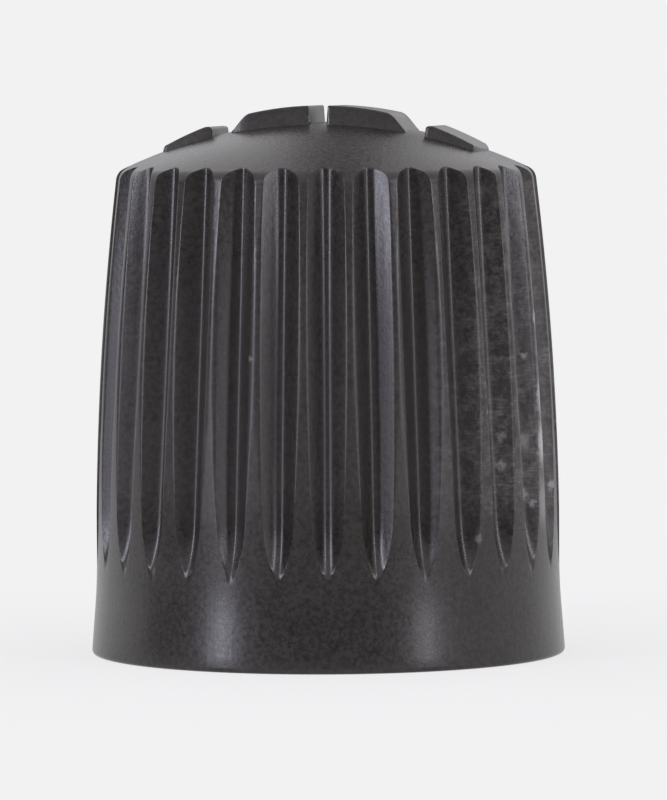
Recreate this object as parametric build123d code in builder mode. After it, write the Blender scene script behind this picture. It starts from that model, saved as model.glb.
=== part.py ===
from build123d import *
import os
from math import cos, radians, sin, tan

# Threaded protection cap for a tyre valve, moulded in one piece of black plastic.
# The mouth opens downwards. The origin is the centre of the mouth, in the plane
# that the rim stands on, +Z runs up through the crown, and -Y is the front.
# All sizes are in millimetres, all angles in degrees.

# Outside, from the rim up: a flared skirt, a straight land and a bowed barrel
rim_radius = 5.0
rim_chamfer = 0.1
skirt_height = 1.5
land_radius = 4.867
land_height = 3.0
shoulder_radius = 4.39
shoulder_height = 10.12
shoulder_edge_radius = 0.2
barrel_bow = 0.095

# Crown: a short cone beside the shoulder, then a dome
crown_slope = 25.0
crown_dome_radius = 9.84

# Grip flutes: V-shaped grooves with straight floors, which run out above the skirt
flute_count = 30
flute_depth_low = 0.27
flute_depth_high = 0.25
flute_flank_angle = 45.0
flute_root_width = 0.14
flute_tip_height = 1.95
flute_runout_height = 2.8

# Row of plain raised blocks on the crown, level from front to back
block_count = 4
block_pitch = 2.06
block_slot_width = 0.35
block_row_depth = 2.0
block_row_turn = -9.8
block_row_radius = 3.45
block_relief = 0.35
block_dome_radius = 6.8
block_inner_end_bevel = 0.34
block_outer_end_bevel = 0.1

# Inside: lead-in, threaded bore, seat for the end of the stem, and room for the valve pin
mouth_radius = 4.25
thread_root_radius = 3.9
thread_bore_depth = 6.2
pin_bore_radius = 2.6
pin_bore_depth = 9.2
pin_bore_chamfer = 0.6

# Cutting tools reach this far past the surfaces that they cut
overcut = 1.0

# The barrel's outline bows outwards between the land and the shoulder
middle_radius = (land_radius + shoulder_radius) / 2 + barrel_bow
middle_height = (land_height + shoulder_height) / 2

# The cone of the crown runs up from the shoulder until it meets the dome
cone_apex_height = shoulder_height + shoulder_radius * tan(radians(crown_slope))
dome_centre_height = cone_apex_height - crown_dome_radius / cos(radians(crown_slope))
dome_edge_radius = crown_dome_radius * sin(radians(crown_slope))
dome_edge_height = dome_centre_height + crown_dome_radius * cos(radians(crown_slope))
crown_height = dome_centre_height + crown_dome_radius
cap_height = crown_height + block_relief

# A flute's floor is straight beside the barrel, then runs out on an arc to its tip on the land
floor_low_radius = land_radius - flute_depth_low
floor_high_radius = shoulder_radius - flute_depth_high
floor_lean = (floor_low_radius - floor_high_radius) / (shoulder_height - flute_runout_height)

# The cutter is a V with a narrow flat root, and stands proud of the flute
cutter_height = flute_depth_low + overcut / 2
cutter_half_width = flute_root_width / 2 + cutter_height / tan(radians(flute_flank_angle))

# The outline of the cap as a solid of revolution, before anything is cut
with BuildPart() as blank:
    with BuildSketch(Plane.XZ):
        with BuildLine():
            rim = Line((0, 0), (rim_radius, 0))
            skirt = Line(rim @ 1, (land_radius, skirt_height))
            land = Line(skirt @ 1, (land_radius, land_height))
            barrel = Spline(
                land @ 1, (middle_radius, middle_height), (shoulder_radius, shoulder_height)
            )
            cone = Line(barrel @ 1, (dome_edge_radius, dome_edge_height))
            dome = CenterArc(
                (0, dome_centre_height), crown_dome_radius, 90 - crown_slope, crown_slope
            )
            Line(dome @ 1, rim @ 0)
        make_face()
    revolve(axis=Axis.Z)
    rings = blank.edges().filter_by(GeomType.CIRCLE).group_by(Axis.Z)
    chamfer(rings[0], rim_chamfer)
    fillet(rings[3], shoulder_edge_radius)
# One flute's cutter: a V with a flat root, swept down the floor and out along the run-out
with BuildPart() as flute_cutter:
    with BuildLine(Plane.XZ):
        floor = Line(
            (floor_high_radius - overcut * floor_lean, shoulder_height + overcut),
            (floor_low_radius, flute_runout_height),
        )
        runout = TangentArc(floor @ 1, (land_radius, flute_tip_height), tangent=floor % 1)
        Line(runout @ 1, runout @ 1 + runout % 1 * overcut)
    with BuildSketch(Plane(origin=floor @ 0, x_dir=(0, 1, 0), z_dir=floor % 0)):
        with BuildLine():
            Polyline(
                (flute_root_width / 2, 0),
                (cutter_half_width, cutter_height),
                (-cutter_half_width, cutter_height),
                (-flute_root_width / 2, 0),
                close=True,
            )
        make_face()
    sweep()

# The row of blocks: its front elevation, domed, parted by slots and bevelled beside the
# outer two slots, carried across the crown
with BuildPart() as blocks:
    with BuildSketch(Plane.XZ) as elevation:
        with Locations((0, cap_height - block_dome_radius)):
            Circle(block_dome_radius)
        with Locations((0, shoulder_height)):
            Rectangle(
                2 * block_row_radius, 2 * overcut, align=(Align.CENTER, Align.MIN), mode=Mode.INTERSECT
            )
        with Locations((0, cap_height)):
            with GridLocations(block_pitch, 0, block_count - 1, 1):
                Rectangle(block_slot_width, 4 * overcut, mode=Mode.SUBTRACT)
        corners = [ends.sort_by(Axis.Y)[-1] for ends in elevation.vertices().group_by(Axis.X)]
        chamfer([corners[2], corners[-3]], block_inner_end_bevel)
        chamfer([corners[1], corners[-2]], block_outer_end_bevel)
    extrude(amount=block_row_depth / 2, both=True)
    with Locations((0, 0, shoulder_height)):
        Cylinder(
            block_row_radius,
            2 * overcut,
            align=(Align.CENTER, Align.CENTER, Align.MIN),
            mode=Mode.INTERSECT,
        )

# The hollow: lead-in, threaded bore, seat, and the pin's room
with BuildPart() as hollow:
    with BuildSketch(Plane.XZ):
        with BuildLine():
            Polyline(
                (0, -overcut),
                (mouth_radius, -overcut),
                (mouth_radius, 0),
                (thread_root_radius, mouth_radius - thread_root_radius),
                (thread_root_radius, thread_bore_depth),
                (pin_bore_radius, thread_bore_depth),
                (pin_bore_radius, pin_bore_depth),
                (0, pin_bore_depth),
                close=True,
            )
        make_face()
    revolve(axis=Axis.Z)
    chamfer(hollow.edges().filter_by(GeomType.CIRCLE).group_by(Axis.Z)[-1], pin_bore_chamfer)

# The finished cap: fluted, with its blocks and its hollow
with BuildPart() as valve_cap:
    add(blank.part)
    with PolarLocations(0, flute_count, start_angle=-90):
        add(flute_cutter.part, mode=Mode.SUBTRACT)
    with Locations(Rotation(0, 0, block_row_turn)):
        add(blocks.part)
    add(hollow.part, mode=Mode.SUBTRACT)

valve_cap.part.label = "valve_cap"
os.makedirs("parts", exist_ok=True)
export_step(valve_cap.part, "parts/valve_cap.step")
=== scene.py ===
from math import atan2, cos, pi, radians, sin, sqrt, tan

import bpy
import numpy as np
from mathutils import Matrix, Vector


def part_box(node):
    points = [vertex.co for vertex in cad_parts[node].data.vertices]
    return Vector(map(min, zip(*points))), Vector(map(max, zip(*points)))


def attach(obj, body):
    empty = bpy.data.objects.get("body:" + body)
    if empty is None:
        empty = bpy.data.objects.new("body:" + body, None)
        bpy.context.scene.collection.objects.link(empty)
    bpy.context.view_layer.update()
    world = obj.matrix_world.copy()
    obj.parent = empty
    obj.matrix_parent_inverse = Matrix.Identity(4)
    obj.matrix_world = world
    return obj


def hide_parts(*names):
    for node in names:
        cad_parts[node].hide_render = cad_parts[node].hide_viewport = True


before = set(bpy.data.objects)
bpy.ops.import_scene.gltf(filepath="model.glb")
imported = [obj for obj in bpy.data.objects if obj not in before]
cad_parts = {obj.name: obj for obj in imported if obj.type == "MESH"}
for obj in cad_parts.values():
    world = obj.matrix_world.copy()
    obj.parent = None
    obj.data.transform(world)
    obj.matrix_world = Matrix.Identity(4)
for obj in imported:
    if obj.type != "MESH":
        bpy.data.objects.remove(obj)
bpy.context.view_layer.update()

# Threaded protection cap for a tyre valve, moulded in one piece of black plastic. The mouth opens
# downwards and the rim stands on the floor, +Z runs up through the crown, and -Y is the front

# ---------------------------------------------------------------- sizes, in millimetres and degrees
mm = 0.001
box_low, box_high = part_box("valve_cap")
rim_radius = min(box_high.x, -box_low.x) / mm
cap_height = box_high.z / mm

# Outside: flared skirt, straight land, bowed barrel, domed crown that is coned beside the shoulder
rim_round = 0.11
skirt_height = 1.5
skirt_blend = 0.5
land_radius = 4.867
land_height = 3.0
shoulder_radius = 4.39
shoulder_height = 10.12
shoulder_reach = 0.17
barrel_bow = 0.095
crown_slope = 25.0
crown_dome_radius = 9.84

# Grip flutes: V-shaped grooves that run out above the skirt. The edges beside them are all but sharp,
# and are rounded at the tips, from where the rounding falls off over the blend's height
flute_count = 30
flute_depth_low = 0.27
flute_depth_high = 0.25
flute_flank_low = 47.2
flute_flank_high = 41.5
flute_root_width = 0.14
flute_root_round = 0.08
flute_crest_round = 0.001
flute_tip_round = 0.01
flute_tip_blend = 0.4
flute_tip_height = 1.95
flute_runout_radius = 3.0

# Row of plain raised blocks on the crown
block_count = 4
block_pitch = 2.06
block_slot_width = 0.35
block_row_depth = 2.0
block_row_turn = -9.8
block_row_radius = 3.45
block_inner_end_bevel = 0.34
block_outer_end_bevel = 0.1
block_bevel_round = 0.1
block_corner_radius = 0.06
block_edge_round = 0.04
block_end_draft = 5.0
block_side_draft = 11.5
block_dome_radius = 6.8
block_sink = 0.25
block_least_height = 0.05

# Heights of a block's foot, waist and top edge, from the level where the block has its plan's size
block_foot_level = -0.35
block_waist_level = 0.05
block_top_level = 0.3

# Inside: lead-in, thread, seat for the end of the stem, and the pin's room
mouth_radius = 4.25
mouth_edge = 0.02
thread_root_radius = 3.9
thread_crest_radius = 3.5
thread_pitch = 0.794
thread_start = 0.55
thread_end = 5.95
thread_fade = 0.35
bore_depth = 6.2
bore_root_round = 0.05
seat_edge_round = 0.06
pin_bore_radius = 2.6
pin_bore_depth = 9.2
pin_bore_round = 0.6
ceiling_middle_radius = 0.6

# The crown's dome: where its centre stands, and where the cone meets it
crown_lean = radians(crown_slope)
cone_apex = shoulder_height + shoulder_radius * tan(crown_lean)
dome_centre = cone_apex - crown_dome_radius / cos(crown_lean)
dome_edge = (crown_dome_radius * sin(crown_lean), dome_centre + crown_dome_radius * cos(crown_lean))

# Surface of the plastic: sizes of its patterns
grain_size = 0.1
flow_size = 0.8
draw_line_spacing = 0.12
draw_line_length = 3.0
scuff_size = 0.4
scuff_azimuth = 62.0
scratch_length = 0.3
scratch_spacing = 0.04
nick_edge_size = 0.1
nick_raggedness = 0.24

# Wear, mostly on the grip's right side. Each nick has its azimuth from the front, its radius and
# height, its half width and half length, and its strength
nicks = (
    (67.2, 4.84, 5.45, 0.20, 0.46, 0.8),
    (67.0, 4.86, 4.50, 0.22, 0.50, 1.0),
    (66.5, 4.88, 3.30, 0.20, 0.55, 0.4),
    (67.2, 4.69, 7.10, 0.16, 0.17, 0.7),
    (62.2, 4.63, 6.30, 0.11, 0.12, 0.8),
    (61.5, 4.63, 4.55, 0.14, 0.26, 0.3),
    (44.0, 4.78, 5.25, 0.08, 0.09, 0.5),
    (49.7, 4.67, 4.72, 0.12, 0.13, 0.35),
    (49.8, 4.69, 4.12, 0.12, 0.12, 0.4),
    (60.9, 4.66, 3.46, 0.13, 0.15, 0.5),
    (62.5, 4.76, 3.27, 0.10, 0.10, 0.5),
    (75.2, 4.84, 3.58, 0.12, 0.14, 0.6),
    (39.4, 4.86, 2.66, 0.07, 0.10, 0.25),
    (-19.5, 4.72, 6.40, 0.08, 0.06, 0.3),
)

# Columns of points. Half a flute's columns stand at these shares of its half width, and the rest at
# these shares of the way from there to the crest's middle
flute_shares = np.array([0, 0.13, 0.26, 0.4, 0.54, 0.7, 0.86, 0.975, 1.0])
crest_shares = np.array([0.05, 0.2, 0.5, 1.0])
outside_columns = 2 * (len(flute_shares) + len(crest_shares) - 1) * flute_count
inside_columns = outside_columns // 2
block_columns = 160

# The columns are spaced for flutes of at least the first two depths, at the rim and at the skirt's
# top, and of at most the third. Half a flute takes at most the last share of the turn between flutes
rim_spacing_depth = 0.24
skirt_spacing_depth = 0.04
most_spacing_depth = 0.3
most_flute_share = 0.4

# Rings of points: they stand close together up to this height, where the flutes run out, and the bore
# has eight or nine to a pitch of its thread
close_rings_height = 3.3
bore_rings = 63

# Edges that turn by more than this stay sharp
sharp_edge_angle = 38

# Studio: a square of paper, two lamps and the camera
floor_reach = 30
lamp_distance = 300
lamp_width = 35
lamp_height = 155
camera_side = 0.13
camera_distance = 125
camera_height = 12.3
camera_aim_height = 5.3
camera_roll = -0.3


# ---------------------------------------------------------------- shapes
def smooth_max(a, b, width):
    """The larger of a and b, with the corner between them rounded over width.

    It is the larger plus h squared times width over 4, where h falls from 1 at the corner to 0 at the
    width.
    """
    h = np.clip(1 - np.abs(a - b) / width, 0, 1)
    return np.maximum(a, b) + h * h * width / 4


def run(a, b, steps):
    """Evenly spaced points on the line from a to b, without b."""
    t = np.arange(steps)[:, None] / steps
    return np.array(a) * (1 - t) + np.array(b) * t


def corner(a, middle, b, steps):
    """A rounded corner from a to b, without b.

    It is the quadratic Bezier curve whose tangents at its ends meet at the middle point.
    """
    t = np.arange(steps)[:, None] / steps
    return (1 - t) ** 2 * np.array(a) + 2 * t * (1 - t) * np.array(middle) + t**2 * np.array(b)


def grid_faces(first, rows, columns):
    """Quads between neighbouring rings of a grid whose columns wrap round, from the vertex first."""
    i, j = np.meshgrid(np.arange(rows - 1), np.arange(columns), indexing="ij")
    k = (j + 1) % columns
    a = first + i * columns
    return np.stack([a + j, a + k, a + columns + k, a + columns + j], -1).reshape(-1, 4)


def mesh_piece(name, points, faces, material):
    """A smooth-shaded object at the origin, from points in millimetres and a list of face arrays."""
    mesh = bpy.data.meshes.new(name)
    mesh.from_pydata(points * mm, [], [tuple(face) for group in faces for face in group.tolist()])
    mesh.validate()
    mesh.polygons.foreach_set("use_smooth", np.ones(len(mesh.polygons), bool))
    mesh.set_sharp_from_angle(angle=radians(sharp_edge_angle))
    mesh.materials.append(material)
    piece = bpy.data.objects.new(name, mesh)
    bpy.context.scene.collection.objects.link(piece)
    return piece


def barrel(z):
    """Points of the land and the barrel at heights z.

    The radius is the land's up to its top, then a straight line to the shoulder plus a parabola of the
    bow's height.
    """
    t = np.clip((z - land_height) / (shoulder_height - land_height), 0, 1)
    r = land_radius + (shoulder_radius - land_radius) * t + 4 * barrel_bow * t * (1 - t)
    return np.stack([r, z], -1)


def outline():
    """The cap's outline as points of radius and height, and the height of the crown's middle.

    It goes from the mouth's edge out along the rim, up the skirt, land and barrel, over the shoulder,
    up the short cone and over the dome, whose centre is on the axis.
    """
    lean = (rim_radius - land_radius) / skirt_height
    rim_top = (rim_radius - rim_round * lean, rim_round)
    inner = run((mouth_radius, 0), (rim_radius - rim_round, 0), 3)
    rim = corner((rim_radius - rim_round, 0), (rim_radius, 0), rim_top, 5)
    blend_foot = (land_radius + skirt_blend * lean, skirt_height - skirt_blend)
    blend_top = (land_radius, skirt_height + skirt_blend)
    skirt = run(rim_top, blend_foot, 4)
    blend = corner(blend_foot, (land_radius, skirt_height), blend_top, 9)
    land = barrel(np.linspace(skirt_height + skirt_blend, close_rings_height, 18)[:-1])
    side = barrel(np.linspace(close_rings_height, shoulder_height - shoulder_reach, 24))
    cone_foot = (
        shoulder_radius - shoulder_reach * cos(crown_lean),
        shoulder_height + shoulder_reach * sin(crown_lean),
    )
    shoulder = corner(side[-1], (shoulder_radius, shoulder_height), cone_foot, 9)[1:]
    cone = run(cone_foot, dome_edge, 4)
    # shares of the dome's angle: six rings close beside the cone, then ten spread over the rest
    shares = np.concatenate([1 - 0.01 * np.arange(6), 0.94 - 0.94 * np.arange(10) / 10])
    turn = crown_lean * shares
    dome = np.stack(
        [crown_dome_radius * np.sin(turn), dome_centre + crown_dome_radius * np.cos(turn)], -1
    )
    rings = np.vstack([inner, rim, skirt, blend, land, side, shoulder, cone, dome])
    return rings, dome_centre + crown_dome_radius


def flute_floor(z):
    """Radius of a flute's floor at height z.

    It is a straight line from the shoulder down to the run-out, then an arc that is tangent to it and
    curves outwards to meet the land at the tip.
    """
    low, high = land_radius - flute_depth_low, shoulder_radius - flute_depth_high
    runout_reach = sqrt(2 * flute_runout_radius * flute_depth_low - flute_depth_low**2)
    runout_height = flute_tip_height + runout_reach
    lean = atan2(low - high, shoulder_height - runout_height)
    centre_r = low + flute_runout_radius * cos(lean)
    centre_z = flute_tip_height + sqrt(flute_runout_radius**2 - (centre_r - land_radius) ** 2)
    start = centre_z - flute_runout_radius * sin(lean)
    straight = low - (z - start) * tan(lean)
    drop = np.clip(centre_z - z, 0, flute_runout_radius)
    arc = centre_r - np.sqrt(flute_runout_radius**2 - drop**2)
    return np.where(z > start, straight, arc)


def outside_rings(profile):
    """The outline carried round the axis and cut by the flutes.

    At height z and a distance s round from a flute's middle, the flute's wall stands at the floor's
    radius plus (s less half the root's width) times the tangent of the flank angle. The angle eases
    from the low one to the high one with the fourth power of the rise from skirt to shoulder. The
    surface is the smaller of the wall and the outline, and the corner between them is all but sharp,
    and a little rounder at the tips. The columns share out the flute's own width and the crest's, so
    that they follow the crest's edges at every height.
    """
    r, z = profile[:, :1], profile[:, 1:]
    rise = np.clip((z - skirt_height) / (shoulder_height - skirt_height), 0, 1)
    flank = np.tan(np.radians(flute_flank_low + (flute_flank_high - flute_flank_low) * rise**4))
    least = np.interp(z, (0, skirt_height), (rim_spacing_depth, skirt_spacing_depth))
    depth = np.clip(r - flute_floor(z), least, most_spacing_depth)
    step = 2 * pi / flute_count
    crest = np.minimum((flute_root_width / 2 + depth / flank) / r, most_flute_share * step)
    half = np.hstack([crest * flute_shares, crest + (step / 2 - crest) * crest_shares])
    away = np.hstack([half, step - half[:, -2:0:-1]])
    turn = np.hstack([away + k * step for k in range(flute_count)]) - pi / 2
    s = np.tile(np.minimum(away, step - away), flute_count)
    past_root = smooth_max(r * np.sin(s) - flute_root_width / 2, 0 * r, flute_root_round)
    wall = flute_floor(z) + past_root * flank
    tip_heights = (flute_tip_height, flute_tip_height + flute_tip_blend)
    crest_round = np.interp(z, tip_heights, (flute_tip_round, flute_crest_round))
    cut = np.where(z > skirt_height, -smooth_max(-r, -wall, crest_round), r)
    return np.stack([cut * np.cos(turn), cut * np.sin(turn), z + 0 * cut], -1)


def hollow():
    """The hollow's outline, from the ceiling's middle down to just inside the mouth.

    It has the pin's room with a rounded ceiling edge, the seat, the bore and the lead-in.
    """
    ceiling_edge = (pin_bore_radius - pin_bore_round, pin_bore_depth)
    room_top = (pin_bore_radius, pin_bore_depth - pin_bore_round)
    ceiling = run((ceiling_middle_radius, pin_bore_depth), ceiling_edge, 4)
    bend = corner(ceiling_edge, (pin_bore_radius, pin_bore_depth), room_top, 8)
    room_foot = (pin_bore_radius, bore_depth + seat_edge_round)
    seat_start = (pin_bore_radius + seat_edge_round, bore_depth)
    room = run(room_top, room_foot, 5)
    edge = corner(room_foot, (pin_bore_radius, bore_depth), seat_start, 3)
    seat_end = (thread_root_radius - bore_root_round, bore_depth)
    bore_top = (thread_root_radius, bore_depth - bore_root_round)
    seat = run(seat_start, seat_end, 5)
    root = corner(seat_end, (thread_root_radius, bore_depth), bore_top, 3)
    bore_foot = (thread_root_radius, mouth_radius - thread_root_radius)
    mouth = (mouth_radius - mouth_edge, mouth_edge)
    bore = run(bore_top, bore_foot, bore_rings)
    cone = run(bore_foot, mouth, 4)
    return np.vstack([ceiling, bend, room, edge, seat, root, bore, cone, [mouth]])


def inside_rings(profile):
    """The hollow's outline carried round the axis, with a right-hand thread on the bore.

    The thread's ridge is its depth times half of one plus the cosine of the phase. The phase goes
    round once for each pitch of height, and falls behind by the turn round the axis. The ridge fades
    in and out at its ends.
    """
    turn = np.arange(inside_columns) * 2 * pi / inside_columns - pi / 2
    r, z = profile[:, :1], profile[:, 1:]
    phase = 2 * pi * z / thread_pitch - turn
    fade_in = np.clip((z - thread_start) / thread_fade, 0, 1)
    fade_out = np.clip((thread_end - z) / thread_fade, 0, 1)
    depth = (thread_root_radius - thread_crest_radius) * fade_in * fade_out
    ridge = depth * (1 + np.cos(phase)) / 2
    bored = np.where(np.isclose(r, thread_root_radius), r - ridge, r)
    return np.stack([bored * np.cos(turn), bored * np.sin(turn), z + 0 * bored], -1)


def cap_skin(material):
    """The whole cap as one closed surface.

    It is the hollow's rings, a band of triangles that joins each inside point to two outside ones at
    the mouth, the outside's rings, and a fan of triangles to a pole at each end.
    """
    outer_profile, crown_height = outline()
    inner, outer = inside_rings(hollow()), outside_rings(outer_profile)
    n_in, n_out = inner.shape[0] * inside_columns, outer.shape[0] * outside_columns
    poles = [(0, 0, pin_bore_depth), (0, 0, crown_height)]
    points = np.vstack([inner.reshape(-1, 3), outer.reshape(-1, 3), poles])
    j = np.arange(inside_columns)
    k = (j + 1) % inside_columns
    a, b = n_in - inside_columns + j, n_in - inside_columns + k
    c, d, e = n_in + 2 * j, n_in + 2 * j + 1, n_in + (2 * j + 2) % outside_columns
    band = np.vstack([np.stack(t, -1) for t in ((a, d, c), (a, b, d), (b, e, d))])
    ceiling = np.stack([k, j, np.full_like(j, n_in + n_out)], -1)
    m = np.arange(outside_columns)
    last = n_in + n_out - outside_columns
    crown = np.stack(
        [last + m, last + (m + 1) % outside_columns, np.full_like(m, n_in + n_out + 1)], -1
    )
    faces = [
        grid_faces(0, inner.shape[0], inside_columns),
        band,
        grid_faces(n_in, outer.shape[0], outside_columns),
        ceiling,
        crown,
    ]
    return mesh_piece("cap_skin", points, faces, material)


def rounded_outline(corners, radius, columns):
    """Points and outward directions round a convex polygon with rounded corners.

    Each corner is an arc of the radius, whose centre lies that far inside both of its sides and whose
    direction turns evenly from one side's to the next one's. The columns share out the length of the
    ring of arcs and sides evenly.
    """
    edges = np.roll(corners, -1, 0) - corners
    after = np.stack([edges[:, 1], -edges[:, 0]], -1) / np.linalg.norm(edges, axis=1)[:, None]
    before = np.roll(after, 1, 0)
    half = (before + after) / 2
    centres = corners - radius * half / (half**2).sum(1, keepdims=True)
    start, end = np.arctan2(before[:, 1], before[:, 0]), np.arctan2(after[:, 1], after[:, 0])
    steps = np.linspace(0, 1, 7)
    angles = start[:, None] + ((end - start) % (2 * pi))[:, None] * steps
    normals = np.stack([np.cos(angles), np.sin(angles)], -1).reshape(-1, 2)
    ring = np.repeat(centres, len(steps), 0) + radius * normals
    gaps = np.linalg.norm(np.roll(ring, -1, 0) - ring, axis=1)
    along = np.concatenate([[0], np.cumsum(gaps)])
    at = np.linspace(0, along[-1], columns, endpoint=False)
    closed, turned = np.vstack([ring, ring[:1]]), np.vstack([normals, normals[:1]])
    points = np.stack([np.interp(at, along, closed[:, axis]) for axis in (0, 1)], -1)
    out = np.stack([np.interp(at, along, turned[:, axis]) for axis in (0, 1)], -1)
    return points, out / np.linalg.norm(out, axis=1)[:, None]


def block_corners(index):
    """The corners of one block of the row, counterclockwise.

    It is the band across the crown between two slots, and the outer end of the first and the last
    block follows the row's circle.
    """
    left = (index - block_count / 2) * block_pitch + block_slot_width / 2
    right = (index + 1 - block_count / 2) * block_pitch - block_slot_width / 2
    half = block_row_depth / 2
    v = np.linspace(-half, half, 13)
    circle = np.sqrt(block_row_radius**2 - v**2)
    if index == 0:
        return np.vstack([[(right, -half), (right, half)], np.stack([-circle, v], -1)[::-1]])
    if index == block_count - 1:
        return np.vstack([np.stack([circle, v], -1), [(left, half), (left, -half)]])
    return np.array([(left, -half), (right, -half), (right, half), (left, half)])


def block_top(flat):
    """Height of the row's top over points on the crown.

    It bends about a line across the row, so that it falls towards the row's ends and is level from
    front to back, and it drops away by the end bevels beside the outer two slots.
    """
    u = flat[..., 0]
    past_slot = np.abs(np.abs(u) - block_pitch) - block_slot_width / 2
    domed = cap_height - block_dome_radius + np.sqrt(block_dome_radius**2 - u**2)
    bevel = np.where(np.abs(u) < block_pitch, block_inner_end_bevel, block_outer_end_bevel)
    return domed - smooth_max(bevel - past_slot, 0 * u, block_bevel_round)


def block(index, material):
    """One raised block.

    Its outline is carried up from inside the crown with the mould's draft, over a rounded top edge
    and in to the middle of its top.
    """
    points, out = rounded_outline(block_corners(index), block_corner_radius, block_columns)
    middle = points.mean(0)

    # rings of the foot, the waist and the rounded top edge: how far each is in from the outline
    turn = np.radians(np.array([0, 18, 36, 54, 72, 90]))
    draft = np.abs(out) @ np.tan(np.radians([block_end_draft, block_side_draft]))
    level = np.array([block_foot_level, block_waist_level] + [block_top_level] * len(turn))
    bend = np.concatenate([[0, 0], block_edge_round * (1 - np.cos(turn))])
    inset = level[:, None] * draft + bend[:, None]
    rings = points[None] - inset[..., None] * out[None]

    # rings of the top, at shares of the way out from its middle, and the drop of every ring below it
    shares = np.array([0.95, 0.9, 0.85, 0.8, 0.75, 0.7, 0.6, 0.45, 0.3, 0.15])[:, None, None]
    rings = np.vstack([rings, middle + shares * (rings[-1:] - middle)])
    edge = np.concatenate([[0, 0], block_edge_round * (1 - np.sin(turn)), np.zeros(len(shares))])
    z = block_top(rings) - edge[:, None]

    # the foot is sunk into the dome, and the waist is halfway up from it
    sunk = dome_centre + np.sqrt(crown_dome_radius**2 - (points**2).sum(-1)) - block_sink
    z[0] = np.minimum(sunk, z[2] - block_least_height)
    z[1] = (z[0] + z[2]) / 2

    turned = radians(block_row_turn)
    swing = np.array([[cos(turned), sin(turned)], [-sin(turned), cos(turned)]])
    grid = np.concatenate([rings @ swing, z[..., None]], -1)
    poles = [[*(middle @ swing), z[0].min()], [*(middle @ swing), block_top(middle)]]
    total = grid.shape[0] * block_columns
    j = np.arange(block_columns)
    k = (j + 1) % block_columns
    last = total - block_columns
    faces = [
        grid_faces(0, grid.shape[0], block_columns),
        np.stack([k, j, np.full_like(j, total)], -1),
        np.stack([last + j, last + k, np.full_like(j, total + 1)], -1),
    ]
    return mesh_piece(f"crown_block_{index + 1}", np.vstack([grid.reshape(-1, 3), poles]), faces, material)


# ---------------------------------------------------------------- materials
multiply = {"operation": "MULTIPLY"}
multiply_add = {"operation": "MULTIPLY_ADD"}
maximum = {"operation": "MAXIMUM"}
smoothstep = {"interpolation_type": "SMOOTHSTEP"}
numbers = {"data_type": "FLOAT"}
colours = {"data_type": "RGBA"}


def linear(code):
    """An sRGB hex colour as linear red, green and blue, and a full alpha."""
    levels = [int(code[i : i + 2], 16) / 255 for i in (1, 3, 5)]
    return (*[c / 12.92 if c <= 0.04045 else ((c + 0.055) / 1.055) ** 2.4 for c in levels], 1.0)


def node(tree, kind, settings=None, inputs=None):
    """Adds a node, sets its properties, and fills its sockets: a value is set, a socket is linked."""
    made = tree.nodes.new(kind)
    for key, value in (settings or {}).items():
        setattr(made, key, value)
    for key, value in (inputs or {}).items():
        if isinstance(value, bpy.types.NodeSocket):
            tree.links.new(value, made.inputs[key])
        else:
            made.inputs[key].default_value = value
    return made


def new_material(name):
    """A material with an empty node tree, and that tree."""
    material = bpy.data.materials.new(name)
    material.use_nodes = True
    material.node_tree.nodes.clear()
    return material, material.node_tree


def nick_marks(tree, place):
    """How strongly the nicks show at a place.

    Each nick is a blot that fades out with the distance from its centre, measured in its own half
    sizes, and the strongest one counts. The place is shifted by a noise first, which makes their
    edges ragged. The noise is about a half on average, so the centres are moved by half its reach.
    """
    noise = node(
        tree,
        "ShaderNodeTexNoise",
        {},
        {"Vector": place, "Scale": 1 / (nick_edge_size * mm), "Detail": 4.0, "Roughness": 0.6},
    )
    ragged = node(
        tree,
        "ShaderNodeVectorMath",
        multiply_add,
        {0: noise.outputs[1], 1: (nick_raggedness * mm,) * 3, 2: place},
    )
    bruise = 0.0
    for azimuth, radius, height, half_width, half_length, strength in nicks:
        a = radians(azimuth)
        spot = (radius * sin(a), -radius * cos(a), height)
        centre = [(c + nick_raggedness / 2) * mm for c in spot]
        size = (half_width * mm, half_width * mm, half_length * mm)
        near = node(
            tree, "ShaderNodeVectorMath", {"operation": "SUBTRACT"}, {0: ragged.outputs[0], 1: centre}
        )
        scaled = node(
            tree, "ShaderNodeVectorMath", {"operation": "DIVIDE"}, {0: near.outputs[0], 1: size}
        )
        away = node(tree, "ShaderNodeVectorMath", {"operation": "LENGTH"}, {0: scaled.outputs[0]})
        mark = node(
            tree,
            "ShaderNodeMapRange",
            smoothstep,
            {
                "Value": away.outputs["Value"],
                "From Min": 0.3,
                "From Max": 1.3,
                "To Min": strength,
                "To Max": 0.0,
            },
        )
        bruise = node(tree, "ShaderNodeMath", maximum, {0: mark.outputs[0], 1: bruise}).outputs[0]
    return bruise


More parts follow.
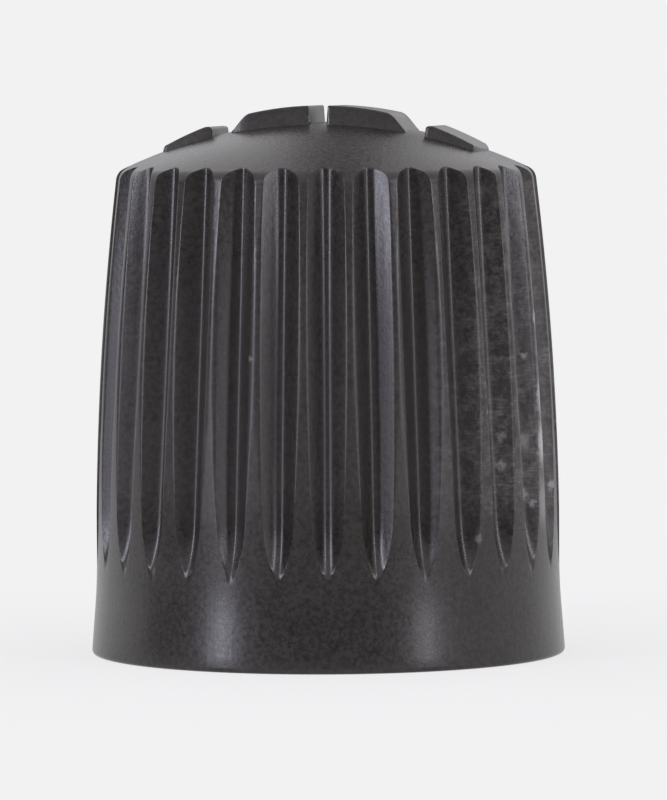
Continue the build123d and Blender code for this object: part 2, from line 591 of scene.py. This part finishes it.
def moulded_black_polypropylene():
    """Black polypropylene, injection moulded in a spark-finished tool.

    It is a satin near-black with a faint brown cast, whose gloss breaks up in a fine grain and in draw
    lines down the sides. The grip has a thin grey veil and is duller in its lower half, and on its
    right it has pale scuffs, fine scratches and a few nicks.
    """
    material, tree = new_material("moulded_black_polypropylene")
    place = node(tree, "ShaderNodeTexCoord").outputs["Object"]
    height = node(tree, "ShaderNodeSeparateXYZ", {}, {0: place}).outputs[2]

    # grain of the spark-finished tool
    grain = node(
        tree,
        "ShaderNodeTexNoise",
        {},
        {"Vector": place, "Scale": 1 / (grain_size * mm), "Detail": 3.0, "Roughness": 0.65},
    )
    # mottling from the flow of the melt
    flow = node(
        tree,
        "ShaderNodeTexNoise",
        {},
        {"Vector": place, "Scale": 1 / (flow_size * mm), "Detail": 4.0, "Roughness": 0.55},
    )
    # draw lines from the tool's release
    across, upward = 1 / (draw_line_spacing * mm), 1 / (draw_line_length * mm)
    drawn = node(tree, "ShaderNodeMapping", {}, {"Vector": place, "Scale": (across, across, upward)})
    lines = node(
        tree, "ShaderNodeTexNoise", {}, {"Vector": drawn.outputs[0], "Scale": 1.0, "Detail": 2.0}
    )
    speck = node(tree, "ShaderNodeMath", multiply_add, {0: grain.outputs[0], 1: 2.2, 2: -0.9})
    mottle = node(
        tree,
        "ShaderNodeMath",
        {"operation": "MULTIPLY_ADD", "use_clamp": True},
        {0: flow.outputs[0], 1: 0.6, 2: speck.outputs[0]},
    )
    tint = node(
        tree,
        "ShaderNodeMix",
        colours,
        {"Factor": mottle.outputs[0], "A": linear("#151211"), "B": linear("#312c2b")},
    )

    # the grip lies between the skirt and the shoulder
    above = node(
        tree,
        "ShaderNodeMapRange",
        smoothstep,
        {"Value": height, "From Min": 2.4 * mm, "From Max": 4.0 * mm},
    )
    under = node(
        tree,
        "ShaderNodeMapRange",
        smoothstep,
        {"Value": height, "From Min": 9.7 * mm, "From Max": 10.2 * mm, "To Min": 1.0, "To Max": 0.0},
    )
    grip = node(tree, "ShaderNodeMath", multiply, {0: above.outputs[0], 1: under.outputs[0]})
    # how much duller its lower half is
    held = node(
        tree,
        "ShaderNodeMapRange",
        smoothstep,
        {"Value": height, "From Min": 6.0 * mm, "From Max": 9.2 * mm, "To Min": 0.1, "To Max": 0.0},
    )

    # handling scuffs: pale patches round to the right of the front
    facing = (sin(radians(scuff_azimuth)), -cos(radians(scuff_azimuth)), 0)
    towards = node(tree, "ShaderNodeVectorMath", {"operation": "DOT_PRODUCT"}, {0: place, 1: facing})
    rightward = node(
        tree,
        "ShaderNodeMapRange",
        smoothstep,
        {
            "Value": towards.outputs["Value"],
            "From Min": 3.6 * mm,
            "From Max": 4.7 * mm,
            "To Min": 0.0,
            "To Max": 0.75,
        },
    )
    blotch = node(
        tree,
        "ShaderNodeTexNoise",
        {},
        {"Vector": place, "Scale": 1 / (scuff_size * mm), "Detail": 6.0, "Roughness": 0.8},
    )
    patch = node(
        tree,
        "ShaderNodeMapRange",
        smoothstep,
        {"Value": blotch.outputs[0], "From Min": 0.4, "From Max": 0.72},
    )
    # fine scratches across the grip, in the same patches
    across, upward = 1 / (scratch_length * mm), 1 / (scratch_spacing * mm)
    crossed = node(tree, "ShaderNodeMapping", {}, {"Vector": place, "Scale": (across, across, upward)})
    scratches = node(
        tree, "ShaderNodeTexNoise", {}, {"Vector": crossed.outputs[0], "Scale": 1.0, "Detail": 2.0}
    )
    scratched = node(
        tree,
        "ShaderNodeMapRange",
        {},
        {
            "Value": scratches.outputs[0],
            "From Min": 0.4,
            "From Max": 0.62,
            "To Min": 0.4,
            "To Max": 1.2,
        },
    )
    scuff = node(tree, "ShaderNodeMath", multiply, {0: patch.outputs[0], 1: scratched.outputs[0]})
    dulled = node(tree, "ShaderNodeMath", multiply, {0: rightward.outputs[0], 1: grip.outputs[0]})
    veil = node(tree, "ShaderNodeMath", multiply, {0: grip.outputs[0], 1: 0.07})
    haze = node(
        tree,
        "ShaderNodeMath",
        multiply_add,
        {0: dulled.outputs[0], 1: scuff.outputs[0], 2: veil.outputs[0]},
    )
    hazed = node(
        tree,
        "ShaderNodeMix",
        colours,
        {"Factor": haze.outputs[0], "A": tint.outputs["Result"], "B": linear("#6a6665")},
    )

    # nicks show paler, bruised plastic
    bruise = nick_marks(tree, place)
    worn = node(
        tree,
        "ShaderNodeMix",
        colours,
        {"Factor": bruise, "A": hazed.outputs["Result"], "B": linear("#a8a5a6")},
    )

    # gloss: the grain's own, then duller on the grip's lower half and on the nicks
    rough = node(
        tree,
        "ShaderNodeMapRange",
        {},
        {"Value": grain.outputs[0], "From Min": 0.3, "From Max": 0.7, "To Min": 0.24, "To Max": 0.31},
    )
    satin = node(
        tree,
        "ShaderNodeMath",
        multiply_add,
        {0: grip.outputs[0], 1: held.outputs[0], 2: rough.outputs[0]},
    )
    duller = node(tree, "ShaderNodeMath", multiply_add, {0: bruise, 1: 0.25, 2: satin.outputs[0]})
    ridges = node(
        tree, "ShaderNodeMath", multiply_add, {0: lines.outputs[0], 1: 0.6, 2: grain.outputs[0]}
    )
    bump = node(
        tree,
        "ShaderNodeBump",
        {},
        {"Height": ridges.outputs[0], "Strength": 0.8, "Distance": 0.004 * mm},
    )
    shader = node(
        tree,
        "ShaderNodeBsdfPrincipled",
        {},
        {
            "Base Color": worn.outputs["Result"],
            "Roughness": duller.outputs[0],
            "IOR": 1.49,
            "Normal": bump.outputs[0],
        },
    )
    node(tree, "ShaderNodeOutputMaterial", {}, {"Surface": shader.outputs[0]})
    return material


def white_paper_sweep():
    """Matt white paper, smooth and without grain.

    It shows as an even near-white, and takes a soft share of the cap's shadow near the cap.
    """
    material, tree = new_material("white_paper_sweep")
    path = node(tree, "ShaderNodeLightPath").outputs
    seen = node(
        tree, "ShaderNodeMath", maximum, {0: path["Is Camera Ray"], 1: path["Is Glossy Ray"]}
    )
    also = node(tree, "ShaderNodeMath", maximum, {0: seen.outputs[0], 1: path["Is Transmission Ray"]})
    place = node(tree, "ShaderNodeTexCoord").outputs["Object"]
    away = node(tree, "ShaderNodeVectorMath", {"operation": "LENGTH"}, {0: place})
    even = node(
        tree,
        "ShaderNodeMapRange",
        smoothstep,
        {
            "Value": away.outputs["Value"],
            "From Min": 6 * mm,
            "From Max": 26 * mm,
            "To Min": 0.8,
            "To Max": 1.0,
        },
    )
    share = node(tree, "ShaderNodeMath", multiply, {0: also.outputs[0], 1: even.outputs[0]})
    paper = node(tree, "ShaderNodeBsdfDiffuse", {}, {"Color": linear("#e6e6e6")})
    glow = node(tree, "ShaderNodeEmission", {}, {"Color": linear("#f2f2f3"), "Strength": 1.0})
    mixed = node(
        tree,
        "ShaderNodeMixShader",
        {},
        {0: share.outputs[0], 1: paper.outputs[0], 2: glow.outputs[0]},
    )
    node(tree, "ShaderNodeOutputMaterial", {}, {"Surface": mixed.outputs[0]})
    return material


# ---------------------------------------------------------------- studio
def paper_floor():
    """A flat square of paper that the cap stands on."""
    mesh = bpy.data.meshes.new("paper_floor")
    corners = [(-1, -1, 0), (1, -1, 0), (1, 1, 0), (-1, 1, 0)]
    mesh.from_pydata(np.array(corners) * floor_reach * mm, [], [(0, 1, 2, 3)])
    mesh.materials.append(white_paper_sweep())
    sheet = bpy.data.objects.new("paper_floor", mesh)
    bpy.context.scene.collection.objects.link(sheet)
    return sheet


def softbox(name, azimuth, elevation, brightness, tint):
    """A rectangular lamp that faces the middle of the cap.

    Azimuth 0 is the camera's side and 90 the right. The brightness is as it is seen, where 1 is white.
    """
    lamp = bpy.data.lights.new(name, "AREA")
    lamp.shape = "RECTANGLE"
    width, height = lamp_width * mm, lamp_height * mm
    lamp.size, lamp.size_y = width, height
    lamp.energy = brightness * width * height * pi
    lamp.color = linear(tint)[:3]
    holder = bpy.data.objects.new(name, lamp)
    a, e = radians(azimuth), radians(elevation)
    back = Vector((sin(a) * cos(e), -cos(a) * cos(e), sin(e)))
    holder.location = Vector((0, 0, cap_height / 2 * mm)) + lamp_distance * mm * back
    holder.rotation_euler = back.to_track_quat("Z", "Y").to_euler()
    bpy.context.scene.collection.objects.link(holder)


def studio_world():
    """The light from all round, worked out from the direction that is looked in.

    A white wall goes round the back and the right. It is brighter towards its sides and higher up, it
    dims again at the far right, and it has a narrow dark gap above its middle. The camera's side is a
    dim room with a soft light above it. The camera itself sees an even near-white.
    """
    world = bpy.data.worlds.new("studio")
    world.use_nodes = True
    tree = world.node_tree
    tree.nodes.clear()
    direction = node(tree, "ShaderNodeTexCoord").outputs["Generated"]
    across, deep, up = node(tree, "ShaderNodeSeparateXYZ", {}, {0: direction}).outputs
    turned = node(tree, "ShaderNodeMath", multiply_add, {0: across, 1: 0.46, 2: deep})
    behind = node(
        tree,
        "ShaderNodeMapRange",
        smoothstep,
        {"Value": turned.outputs[0], "From Min": -0.45, "From Max": -0.05},
    )

    # the gap stands a little right of the middle, and only above the low part of the wall
    off_middle = node(tree, "ShaderNodeMath", {"operation": "SUBTRACT"}, {0: across, 1: 0.025})
    aside = node(tree, "ShaderNodeMath", {"operation": "ABSOLUTE"}, {0: off_middle.outputs[0]})
    beside = node(
        tree,
        "ShaderNodeMapRange",
        smoothstep,
        {"Value": aside.outputs[0], "From Min": 0.02, "From Max": 0.13, "To Min": 0.1, "To Max": 1.0},
    )
    below = node(
        tree,
        "ShaderNodeMapRange",
        smoothstep,
        {"Value": up, "From Min": 0.12, "From Max": 0.4, "To Min": 1.0, "To Max": 0.1},
    )
    dark_gap = node(tree, "ShaderNodeMath", maximum, {0: beside.outputs[0], 1: below.outputs[0]})

    # the wall's own brightness
    low_wall = node(
        tree,
        "ShaderNodeMapRange",
        smoothstep,
        {"Value": aside.outputs[0], "From Min": 0.3, "From Max": 0.6, "To Min": 0.6, "To Max": 1.2},
    )
    wall = node(
        tree,
        "ShaderNodeMapRange",
        smoothstep,
        {"Value": up, "From Min": 0.05, "From Max": 0.4, "To Min": low_wall.outputs[0], "To Max": 1.35},
    )
    right_side = node(
        tree,
        "ShaderNodeMapRange",
        smoothstep,
        {"Value": across, "From Min": 0.6, "From Max": 0.95, "To Min": 1.0, "To Max": 0.78},
    )
    shaded = node(tree, "ShaderNodeMath", multiply, {0: wall.outputs[0], 1: right_side.outputs[0]})
    lit = node(tree, "ShaderNodeMath", multiply, {0: shaded.outputs[0], 1: dark_gap.outputs[0]})
    front = node(
        tree,
        "ShaderNodeMapRange",
        smoothstep,
        {"Value": up, "From Min": 0.13, "From Max": 0.32, "To Min": 0.035, "To Max": 1.1},
    )
    level = node(
        tree,
        "ShaderNodeMix",
        numbers,
        {"Factor": behind.outputs[0], "A": front.outputs[0], "B": lit.outputs[0]},
    )
    seen = node(tree, "ShaderNodeLightPath").outputs["Is Camera Ray"]
    brightness = node(
        tree, "ShaderNodeMix", numbers, {"Factor": seen, "A": level.outputs[0], "B": 1.0}
    )
    tone = node(
        tree, "ShaderNodeMix", colours, {"Factor": seen, "A": linear("#f0eff2"), "B": linear("#f2f2f3")}
    )
    sky = node(
        tree,
        "ShaderNodeBackground",
        {},
        {"Color": tone.outputs["Result"], "Strength": brightness.outputs[0]},
    )
    node(tree, "ShaderNodeOutputWorld", {}, {"Surface": sky.outputs[0]})
    return world


def level_camera():
    """A camera level with the crown, which looks slightly down and has a slight roll."""
    data = bpy.data.cameras.new("camera")
    data.sensor_width = 36.0
    data.lens = 267.8
    data.clip_start = 0.01
    data.clip_end = 10.0
    camera = bpy.data.objects.new("camera", data)
    stand = Vector((camera_side, -camera_distance, camera_height)) * mm
    target = Vector((camera_side, 0, camera_aim_height)) * mm
    look = (target - stand).to_track_quat("-Z", "Y").to_matrix().to_4x4()
    camera.matrix_world = Matrix.Translation(stand) @ look @ Matrix.Rotation(radians(camera_roll), 4, "Z")
    bpy.context.scene.collection.objects.link(camera)
    return camera


# ---------------------------------------------------------------- the cap in its studio
black = moulded_black_polypropylene()
skin = cap_skin(black)
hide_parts("valve_cap")
pieces = [skin] + [block(i, black) for i in range(block_count)]
for piece in pieces:
    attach(piece, "root")

floor = paper_floor()
softbox("softbox_left", -53, 14, 20.0, "#ebebfd")
softbox("softbox_right", 48, 15, 12.6, "#f2f0fb")
bpy.context.scene.world = studio_world()
bpy.context.scene.camera = level_camera()
bpy.context.scene.view_settings.view_transform = "Standard"
